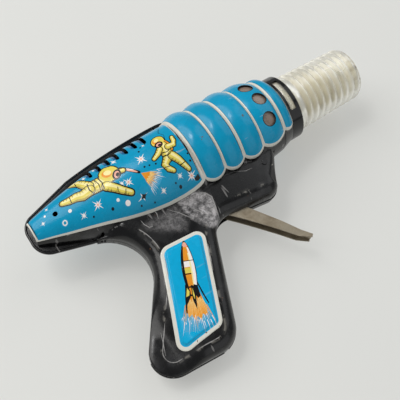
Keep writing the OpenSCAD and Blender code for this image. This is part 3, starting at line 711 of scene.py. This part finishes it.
def barrel_sheet(side):
    flat = Flat()
    low, high = -90 * DEG, SEAM * DEG
    end = TAIL - CAP_ROUND * math.pi / 2 - 4.2
    regions = []
    flat.line([(end, low), (GROOVE_X[-1], low), (GROOVE_X[-1], high), (end, high)])
    us = np.concatenate([np.arange(-159.2, -70.5, 1.0), np.linspace(-70.2, GROOVE_X[-1], 96)])
    border = np.stack([us, border_angle(us) * DEG], 1)
    for k in (0.0, LINE_W):
        tail = [(end, border[0, 1] + k), (TAIL - 0.9, border[0, 1] + k)]
        flat.line(np.vstack([tail, border + [0, k]]), closed=False)
    blue = [tuple(q) for q in np.vstack([[(TAIL + 0.4, border[0, 1] + LINE_W)], border + [0, LINE_W]])]
    blue += [(GROOVE_X[-1], high), (TAIL + 0.4, high)]
    whole = [(TAIL - 0.9, border[0, 1])] + [tuple(q) for q in border]
    whole += [(GROOVE_X[-1], high), (TAIL - 0.9, high)]
    regions.append(("tin_cream", whole))
    regions.append(("tin_blue", blue))
    for u in (TAIL + 0.4, TAIL - 0.9):
        flat.line([(u, border[0, 1]), (u, high)], closed=False)
    edge = [(TAIL + 0.4, high - 2.6), (-140, high - 2.0), (-122, high - 0.5), (-122, high),
            (TAIL + 0.4, high)]
    flat.line(edge)
    regions.append(("tin_cream", edge))
    # off-white lines in the grooves, and a fine one at the front edge
    for i, x in enumerate(GROOVE_X):
        a, b = (x - GROOVE_W * 0.6, x + GROOVE_W * 0.44) if i else (x - GROOVE_W * 1.15, x + GROOVE_W * 0.35)
        b = min(b, GROOVE_X[-1])
        foot = float(border_angle(np.array([x]))[0]) * DEG
        flat.line([(a, foot), (b, foot), (b, high), (a, high)])
        regions.append(("tin_cream", [(a, foot), (b, foot), (b, high), (a, high)]))
        if a < x < b:
            flat.line([(x, low), (x, high)], closed=False)
    # pictures
    for name, shape in bulge_art():
        shape = np.array(shape)
        q = flat_of(shape[:, 0], shape[:, 1])
        flat.line(q)
        regions.append((name, q))
    # openings
    holes = []
    w, e = VENT_W / 2, 1.2
    lo, hi = VENT_LOW * DEG, VENT_HIGH * DEG
    for x in VENTS:
        shape = [(x - w, lo + e), (x - w * 0.5, lo), (x + w * 0.5, lo), (x + w, lo + e),
                 (x + w, hi - e), (x + w * 0.5, hi), (x - w * 0.5, hi), (x - w, hi - e)]
        # A strip of darker blue beside each slot is painted shade of the dipped metal there.
        shadow = [(x - w - 1.3, lo + 2), (x - w, lo + e), (x - w, hi - e), (x - w - 0.5, hi - 1)]
        flat.line(shadow)
        regions.append(("tin_deep_blue", shadow))
        holes.append(resample(shape, 1.0))
    for x, th in WINDOWS:
        r = float(tube_at(np.array([x]))[0][0]) + RIB_H
        k = DEG / (math.radians(1) * r)
        # The black ring round each window is painted shadow of the opening's edge, not a printed line.
        rim = ellipse(x, th * DEG, WINDOW_R + WINDOW_SHADE_RING, (WINDOW_R + WINDOW_SHADE_RING) * k, n=40)
        flat.line(rim)
        regions.append((BLACK, rim))
        holes.append(np.array(ellipse(x, th * DEG, WINDOW_R, WINDOW_R * k, n=40)))
    if side > 0:
        spot = flat_of([-145.6], [4.3])[0]
        k = DEG / (math.radians(1) * 12.7)
        holes.append(np.array(ellipse(spot[0], spot[1], 1.4, 1.4 * k, n=18)))
    for h in holes:
        flat.line(h)
    cells = []
    cols = np.concatenate([np.arange(end + 0.6, TAIL - 0.1, 0.5), np.arange(TAIL + 0.2, -70.5, 1.1)])
    for x in cols:
        cells += [(x, k) for k in np.arange(low + 0.6, high - 0.3, 1.25)]
    for a, b in zip(GROOVE_X[:-1], GROOVE_X[1:]):
        n = int((b - a) / 0.62)
        share = 0.5 - 0.5 * np.cos(np.pi * np.arange(1, n) / n)
        share = share * 0.65 + np.arange(1, n) / n * 0.35
        for x in a + (b - a) * share:
            cells += [(x, k) for k in np.arange(low + 0.6, high - 0.3, 1.25)]
    flat.grid(cells, 0.28)
    v, f = flat.triangles()
    mid = v[f].mean(1)
    mats = np.full(len(f), INDEX["black_enamel"])
    for name, poly in regions:
        mats[within(poly, mid)] = INDEX[name]
    keep = np.ones(len(f), bool)
    for h in holes:
        keep &= ~within(h, mid)
    f, mats = f[keep], mats[keep]
    name = "right_tin" if side > 0 else "left_tin"
    obj = sheet_object(name, barrel, v, f, mats, 0.5, side, PRINTS)
    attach(obj, "housing")
    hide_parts("right_shell" if side > 0 else "left_shell")
    return obj


# ---------------------------------------------------------------- the black body and grip

BODY_ARCS = [
    (-139, -38, 22.5, 76, -37.5), (-131, -85.5, 12, 142.5, 267), (-110, -85, 14, 267, 337.5),
    (-68.4, -52.2, 12, 157.5, 82.4), (-41, -35.6, 8, 262.4, 326.4), (-21.5, -18, 0, 0, 0),
    (-24, -6, 0, 0, 0), (-105, -4, 0, 0, 0)]
GRIP_HALF, GRIP_ROUND = 10.0, 6.5
PANEL_ARCS = [(-123.4, -84.8, 5, 157, 265), (-107.5, -83.2, 5.2, 265, 337), (-90.8, -44.6, 4.6, -23, 87),
              (-106, -45.5, 6.5, 87, 157)]
PANEL_LIP, PANEL_RISE, PANEL_SLOPE, PANEL_LINE = 0.25, 0.9, (2.5, 3.6), 1.9
WALL_LOW = 0.06

SCUFF = [(-89, -20.5), (-80, -19.5), (-74, -22), (-70.4, -27), (-70.8, -31), (-72.4, -36), (-73.4, -41),
         (-76, -43.6), (-80.8, -43.6), (-84.5, -39), (-88, -33)]
CHIPS = [(-113.4, -87.2), (-106.2, -87.8), (-119.6, -88.4)]
SMEAR = [(-112, -21.5), (-98, -20.5), (-88, -20.5), (-86, -33), (-92, -40), (-104, -34), (-112, -27)]
SCRATCHES = [
    [(-76.4, -22.4, 0.1), (-72.6, -25.0, 0.3), (-70.9, -28.4, 0.35), (-71.9, -32.6, 0.25),
     (-73.0, -36.4, 0.3), (-73.6, -40.6, 0.1)],
    [(-109.9, -20.6, 0.08), (-109.6, -23.2, 0.2), (-108.2, -26.0, 0.22), (-106.6, -26.4, 0.2),
     (-106.0, -25.0, 0.08)],
    [(-101.4, -18.6, 0.08), (-100.8, -21.4, 0.2), (-101.6, -24.4, 0.08)],
    [(-95, -22.4, 0.06), (-90.6, -27.2, 0.16), (-86.4, -33.4, 0.06)],
    [(-84.0, -27.6, 0.06), (-80.2, -33.2, 0.2), (-77.4, -37.6, 0.06)],
    [(-131.4, -74.4, 0.06), (-133.2, -79.6, 0.18), (-135.4, -85.2, 0.06)],
    [(-52.6, -22.4, 0.05), (-46.8, -25.4, 0.14), (-42.8, -25.8, 0.05)]]

whole_outline = resample(outline(BODY_ARCS), 1.0)
exposed_outline = resample(outline(BODY_ARCS[:5]) + [(-21.5, -18)], 1.0, closed=False)
panel_outline = resample(outline(PANEL_ARCS), 1.0)
whole_closed = np.vstack([whole_outline, whole_outline[:1]])
panel_closed = np.vstack([panel_outline, panel_outline[:1]])


def soft_max(a, b, k):
    h = np.maximum(k - np.abs(a - b), 0) / k
    return np.maximum(a, b) + h * h * k / 4


def rear_share(x):
    """The body is thin where it leaves the bulge and full from the grip's back on."""
    return 0.3 + 0.7 * smooth(-136, -117, x)


def body_top(q, edge_d):
    """Height of the side face: slab with rounded edge, flowing into the barrel."""
    x, y = q[:, 0], q[:, 1]
    d = np.clip(edge_d, 0, GRIP_ROUND)
    slab = GRIP_HALF - GRIP_ROUND + np.sqrt(np.maximum(GRIP_ROUND ** 2 - (GRIP_ROUND - d) ** 2, 0))
    slab = slab * rear_share(x)
    r, c = tube_at(x)
    round_z = np.sqrt(np.maximum(r * r - (y - c) ** 2, 0))
    joined = soft_max(slab, round_z, 5.0 + 3.0 * smooth(-108, -128, x))
    edge_y = c + r * np.sin(np.radians(border_angle(x) - 1.5))
    w = smooth(0.0, 4.5, edge_y - y)
    return np.where(w < 1, np.maximum(round_z * (1 - w) + joined * w, slab), joined)


def body(v):
    d_all, _, _ = to_line(v, whole_closed)
    d, near, _ = to_line(v, exposed_outline)
    inside = within(whole_outline, v)
    out = ~inside & (d < 6)
    z = body_top(v, np.where(inside, d_all, 0.0))
    pd, _, _ = to_line(v, panel_closed)
    lift = PANEL_LIP * smooth(0, 0.6, pd) + PANEL_RISE * smooth(*PANEL_SLOPE, pd)
    z = z + np.where(within(panel_outline, v), lift, 0)
    p = np.stack([v[:, 0], v[:, 1], z], 1)
    p[out, :2] = near[out]
    p[out, 2] = (GRIP_HALF - GRIP_ROUND - d[out]) * rear_share(near[out, 0])
    return p


def body_sheet(side):
    flat = Flat()
    drop = GRIP_HALF - GRIP_ROUND - WALL_LOW
    outer = resample(outline(BODY_ARCS[:5], -drop), 1.3, closed=False)
    n_end = np.array([0.864, -0.503])
    outer = np.vstack([outer, [np.array([-21.5, -18.0]) + n_end * drop]])
    xs = np.arange(-23.0, -132.0, -0.8)
    r, c = tube_at(xs)
    top = np.stack([xs, c + r * np.sin(np.radians(border_angle(xs) - 0.6))], 1)
    domain = np.vstack([outer, [(-21.6, -18.4)], top, [(-134.2, -13.6)]])
    flat.line(domain)
    for k in np.linspace(0, 90, 9):
        inset = GRIP_ROUND * (1 - math.cos(math.radians(k)))
        flat.line(resample(outline(BODY_ARCS[:5], inset), 1.1, closed=False), closed=False)
    flat.line(resample(outline(BODY_ARCS[:5], GRIP_ROUND + 0.5), 1.4, closed=False), closed=False)
    regions = []
    prints = {0.0: "tin_cream", PANEL_LINE: "tin_panel_blue"}
    for inset in (0.0, 0.3, 0.6, PANEL_LINE, 2.7, 3.0, 3.3, 3.6, 3.9):
        ring = resample(outline(PANEL_ARCS, inset), 0.9)
        flat.line(ring)
        if inset in prints:
            regions.append((prints[inset], ring))
    rng = random.Random(5 if side > 0 else 6)
    ridge = resample(outline(BODY_ARCS[:5], GRIP_ROUND + 0.2, 24), 2.2, closed=False)
    worn = []
    for low, high in ((0.1, 0.17), (0.18, 0.27), (0.28, 0.44), (0.455, 0.50), (0.66, 0.70)):
        part = ridge[int(low * len(ridge)):int(high * len(ridge))]
        worn.append([(x, y, 0.05 if i in (0, len(part) - 1) else rng.uniform(0.1, 0.24))
                     for i, (x, y) in enumerate(part)])
    chips = [q for x, y in CHIPS for q in blots(x, y, 0.9, 4, 0.4, rng)]
    scratches = [("bare_scratch", limb(q)) for q in worn + (SCRATCHES if side > 0 else [])]
    for name, shape in rocket_art() + chips + scratches:
        flat.line(shape)
        regions.append((name, np.array(shape)))
    low, high = domain.min(0), domain.max(0)
    gx, gy = np.meshgrid(np.arange(low[0], high[0], 1.35), np.arange(low[1], high[1], 1.35))
    gx = gx + (np.arange(gx.shape[0]) % 2)[:, None] * 0.67
    cells = np.stack([gx.ravel(), gy.ravel()], 1)
    cells = cells[within(domain, cells)]
    d, _, _ = to_line(cells, exposed_outline)
    inside = within(whole_outline, cells)
    cells = cells[inside & (d > GRIP_ROUND + 0.9)]
    flat.grid([tuple(q) for q in cells], 0.4)
    xs = np.arange(-130, -24, 1.2)
    r, c = tube_at(xs)
    for k in (0.7, 1.5, 2.4, 3.4, 4.6):
        flat.grid([q for q in zip(xs, c + r * np.sin(np.radians(border_angle(xs) - 0.6)) - k)], 0.35)
    v, f = flat.triangles()
    mid = v[f].mean(1)
    keep = within(domain, mid)
    f, mid = f[keep], mid[keep]
    d, near, _ = to_line(mid, exposed_outline)
    gap = ~within(whole_outline, mid) & (near[:, 0] > -75) & (near[:, 0] < -56) & (near[:, 1] > -50)
    f, mid = f[~gap], mid[~gap]
    mats = np.full(len(f), INDEX["black_enamel"])
    panel_in = within(panel_outline, mid)
    for name, poly in regions:
        m = within(poly, mid)
        mats[m & (panel_in if name.startswith("ink") else m)] = INDEX[name]
    frame_ring = resample(outline(PANEL_ARCS, PANEL_LINE), 0.9)
    mats[panel_in & ~within(frame_ring, mid) & (mats != INDEX["ink_rust"])] = INDEX["tin_cream"]
    vd, _, _ = to_line(v, exposed_outline)
    bore, lift = tube_at(v[:, 0])
    clear_of_barrel = smooth(3, 7, lift + bore * np.sin(np.radians(border_angle(v[:, 0]))) - v[:, 1])
    wear = np.exp(-((vd - GRIP_ROUND) / 0.35) ** 2) * within(whole_outline, v) * clear_of_barrel
    name = "right_grip" if side > 0 else "left_grip"
    scuff = np.zeros(len(v))
    for poly, share, blur in ((SMEAR, 0.34, 5.0), (SCUFF, 1.0, 1.6)):
        d, _, _ = to_line(v, np.array(poly + poly[:1]))
        scuff = np.maximum(scuff, share * np.where(within(poly, v), smooth(0, blur, d), 0))
    scuff *= 1.0 if side > 0 else 0.4
    obj = sheet_object(name, body, v, f, mats, 0.5, side, PRINTS, {"wear": wear, "scuff": scuff})
    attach(obj, "housing")
    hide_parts("right_shell" if side > 0 else "left_shell")
    return obj


# ---------------------------------------------------------------- seams

def sweep(name, path, section, material, turn=1):
    """Sweeps a section of (outwards, z) points along an (x, y) path.

    Outwards is to the path's left, or to its right if turn is -1.
    """
    path = np.asarray(path, float)
    n, m = len(path), len(section)
    verts, faces = [], []
    for i in range(n):
        a, b = path[max(i - 1, 0)], path[min(i + 1, n - 1)]
        t = (b - a) / np.linalg.norm(b - a)
        out = np.array([-t[1], t[0]]) * turn
        verts += [(*(path[i] + out * s), z) for s, z in section]
    for i in range(n - 1):
        a, b = i * m, (i + 1) * m
        faces += [(a + j, a + (j + 1) % m, b + (j + 1) % m, b + j) for j in range(m)]
    faces += [tuple(range(m - 1, -1, -1)), tuple(range((n - 1) * m, n * m))]
    return plain_object(name, np.array(verts), faces, material)


def rounded_section(out_low, out_high, half, r):
    """A rectangle with round corners of radius r, half thick on each side of z = 0."""
    low, high, top = out_low + r, out_high - r, half - r
    return outline([(high, top, r, 0, 90), (low, top, r, 90, 180), (low, -top, r, 180, 270),
                    (high, -top, r, 270, 360)], steps=4)


RIM_ARCS = [(-73, 0, 27.8, 60, 90), (-73, -312.2, 340, 90, 99.8), (-153, 5.5, 10, 115, 175),
            (-152, 0.4, 11, 175, 254), (-134, -11, 5, 256, 270)]


def seams():
    made = []
    rim = resample(outline(RIM_ARCS, 0.3, 20), 1.4, closed=False)
    flange = sweep("rim_flange", rim, rounded_section(-4.6, 0.0, 0.5, r=0.25), RIM_BLACK, -1)
    made.append(flange)
    line = exposed_outline
    bead_path = np.vstack([rim[:-1], line[:int(0.30 * len(line))]])
    made.append(sweep("rim_bead", bead_path, rounded_section(-1.4, 0.1, 1.0, r=0.7), RIM_BLACK, -1))
    cuts = [(0.315, 0.46), (0.475, 0.64), (0.80, 0.985)]
    for i, (a, b) in enumerate(cuts):
        part = line[int(a * len(line)):int(b * len(line))]
        made.append(sweep(f"seam_lip_{i + 1}", part, rounded_section(-0.5, 0.4, 0.8, r=0.25), RIM_BLACK, -1))
    for o in made:
        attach(o, "housing")
        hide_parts("right_shell", "left_shell")


# ---------------------------------------------------------------- windows' film

FILM_GAP = 1.3    # from the tin's outside to the film's


def film(side):
    flat = Flat()
    a, b, lo_th, hi_th = -29.0, -16.0, -40.0, 46.0    # it reaches past the windows on every side
    flat.line([(a, lo_th * DEG), (b, lo_th * DEG), (b, hi_th * DEG), (a, hi_th * DEG)])
    rows = np.arange(lo_th * DEG + 0.8, hi_th * DEG, 1.1)
    flat.grid([(x, k) for x in np.arange(a + 0.8, b, 0.9) for k in rows], 0.3)
    v, f = flat.triangles()

    def place(q):
        p = barrel(q)
        k = FILM_GAP / np.maximum(np.hypot(p[:, 1], p[:, 2]), 1)
        p[:, 1:] *= (1 - k)[:, None]
        return p

    hand = "right" if side > 0 else "left"
    obj = sheet_object("film_" + hand, place, v, f, np.zeros(len(f)), 0.2, side, [FILM, FILM, FILM])
    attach(obj, "housing")
    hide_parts("window_film_" + hand)


# ---------------------------------------------------------------- the clear ribbed tube

TUBE_LEN = 45.8
TUBE_BAND, TUBE_BASE, TUBE_MOUTH, TUBE_BORE, TUBE_RIBS = 5.6, 16.9, 15.9, 14.2, 9


def lathe(name, profile, material, sides=128):
    """Turns a closed (x, radius) profile round the axis of the barrel."""
    n = len(profile)
    turns = np.linspace(0, 2 * math.pi, sides, endpoint=False)
    verts = [(x, r * math.cos(a), r * math.sin(a)) for a in turns for x, r in profile]
    faces = [(i * n + j, i * n + (j + 1) % n, ((i + 1) % sides) * n + (j + 1) % n, ((i + 1) % sides) * n + j)
             for i in range(sides) for j in range(n)]
    return plain_object(name, np.array(verts), faces, material)


def tube():
    pitch = (TUBE_LEN - TUBE_BAND - 0.4) / TUBE_RIBS
    outer = [(-5.4, 17.6), (-5.2, 17.9), (-1.2, 17.9), (-1.0, 17.7), (-0.95, 16.95), (0.2, TUBE_BASE),
             (TUBE_BAND - 1.6, TUBE_BASE)]
    for i in range(TUBE_RIBS):
        for k in range(0 if i == 0 else 1, 13):
            t = (i + k / 12) / TUBE_RIBS
            crest = TUBE_BASE + (TUBE_MOUTH - TUBE_BASE) * t
            depth = 1.9 - 0.65 * t
            dip = depth * (1 - math.sin(math.pi * k / 12) ** 0.8)
            outer.append((TUBE_BAND + (i + k / 12) * pitch, crest - dip))
    outer += [(TUBE_LEN - 0.3, 14.95), (TUBE_LEN - 0.05, 14.85), (TUBE_LEN - 0.02, 14.75)]
    inner = [(TUBE_LEN - 0.1, TUBE_BORE + 0.1)]
    for k in range(40, -1, -1):
        x = TUBE_BAND + (TUBE_LEN - 2 - TUBE_BAND) * k / 40
        inner.append((x, TUBE_BORE + 0.12 * math.sin(2 * math.pi * (x - TUBE_BAND) / pitch)))
    inner.append((-5.4, TUBE_BORE))
    obj = lathe("clear_tube", outer + inner, PLASTIC)
    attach(obj, "housing")
    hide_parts("muzzle_tube")


tube()
for s in (1, -1):
    barrel_sheet(s)
    body_sheet(s)
    film(s)
seams()

# ---------------------------------------------------------------- finishes of the CAD parts that stay

# any other node is plain steel
FINISH = {
    "muzzle_collar": RIM_BLACK, "cross_rivet": RIM_BLACK, "muzzle_tube": PLASTIC, "trigger": TRIGGER_STEEL,
    "trigger_spring": SPRING, "flint_spring": SPRING, "drive_pinion": BRASS, "drive_gear": BRASS,
    "wheel_pinion": BRASS, "wheel_bushes": BRASS, "flint_holder": BRASS, "flywheel": ZINC,
    "spark_wheel_hub": ZINC, "spark_ring": ABRASIVE, "flint": FLINT}
for name, obj in frame["nodes"].items():
    finish = FINISH.get(name, STEEL)
    obj.data.materials.clear()
    obj.data.materials.append(finish)

# ---------------------------------------------------------------- floor, light and camera

FLOOR_TILT, FLOOR_DROP, FLOOR_R = 9.5, 26.4, 420.0
up = np.array([0, math.sin(math.radians(FLOOR_TILT)), math.cos(math.radians(FLOOR_TILT))])
across = np.array([1.0, 0, 0])
along = np.cross(up, across)
centre = np.array([-60.0, -20.0, 0.0])
centre = centre - up * (centre @ up + FLOOR_DROP)
ring_pts = [centre + across * a + along * b for a, b in ellipse(0, 0, FLOOR_R, FLOOR_R, n=96)]
paper = Paint("paper")
grain = paper.noise(240, 4, 0.6)
colour = paper.mix(paper.noise(9, 2), srgb(160, 160, 157), srgb(155, 156, 154))
paper.set(Base_Color=colour, Roughness=0.85, Normal=paper.bump(grain, 0.05, 0.3),
          Emission_Color=srgb(217, 217, 213), Emission_Strength=0.5)
back = node(paper.t, "NewGeometry").outputs["Backfacing"]
clear = node(paper.t, "BsdfTransparent").outputs[0]
both = node(paper.t, "MixShader", i0=back, i1=paper.p.outputs[0], i2=clear).outputs[0]
paper.t.links.new(both, paper.t.nodes["Material Output"].inputs[0])
floor = plain_object("floor", np.array(ring_pts), [tuple(range(96))], paper.m, smooth=False)

sky = bpy.data.worlds.new("studio")
bpy.context.scene.world = sky
sky.use_nodes = True
sky.node_tree.nodes["Background"].inputs[0].default_value = srgb(225, 228, 230)
sky.node_tree.nodes["Background"].inputs[1].default_value = 0.36


def soft_box(name, place, aim, size, power, colour=(1, 1, 1)):
    data = bpy.data.lights.new(name, "AREA")
    data.shape = "RECTANGLE"
    data.size, data.size_y = size[0] * 0.001, size[1] * 0.001
    data.energy = power
    data.color = colour
    obj = bpy.data.objects.new(name, data)
    bpy.context.scene.collection.objects.link(obj)
    obj.location = Vector(world(place))
    obj.rotation_mode = "QUATERNION"
    obj.rotation_quaternion = (Vector(world(aim)) - obj.location).to_track_quat("-Z", "Y")


soft_box("key", (-620, 760, 900), (-70, -20, 0), (1200, 1200), 14.0, (1.0, 0.985, 0.96))
soft_box("lamp", (-300, 420, 900), (-70, -20, 0), (240, 160), 1.3, (1.0, 1.0, 1.0))
soft_box("fill_right", (900, 300, 900), (-70, -20, 0), (1200, 1200), 4.5, (0.97, 0.985, 1.0))
soft_box("fill_front", (200, -1100, 800), (-70, -20, 0), (1300, 1300), 3.5, (0.98, 0.99, 1.0))

TARGET = (-74.2, -23.8, 0.0)
AZIMUTH, ELEVATION, ROLL, DISTANCE = -135.7, 66.46, 13.3, 379.6
az, el, ro = (math.radians(k) for k in (AZIMUTH, ELEVATION, ROLL))
back_dir = Vector((math.cos(el) * math.cos(az), math.cos(el) * math.sin(az), math.sin(el)))
level = Vector((0, 0, 1)).cross(back_dir).normalized()
upright = back_dir.cross(level)
right_dir = level * math.cos(ro) + upright * math.sin(ro)
up_dir = upright * math.cos(ro) - level * math.sin(ro)
lens = bpy.data.cameras.new("camera")
lens.lens, lens.sensor_width = 63.0, 36.0
lens.clip_start, lens.clip_end = 0.01, 10
camera = bpy.data.objects.new("camera", lens)
bpy.context.scene.collection.objects.link(camera)
camera.rotation_mode = "QUATERNION"
camera.rotation_quaternion = Matrix((right_dir, up_dir, back_dir)).transposed().to_quaternion()
camera.location = Vector(world(TARGET)) + back_dir * DISTANCE * 0.001
bpy.context.scene.camera = camera
bpy.context.scene.view_settings.view_transform = "Standard"
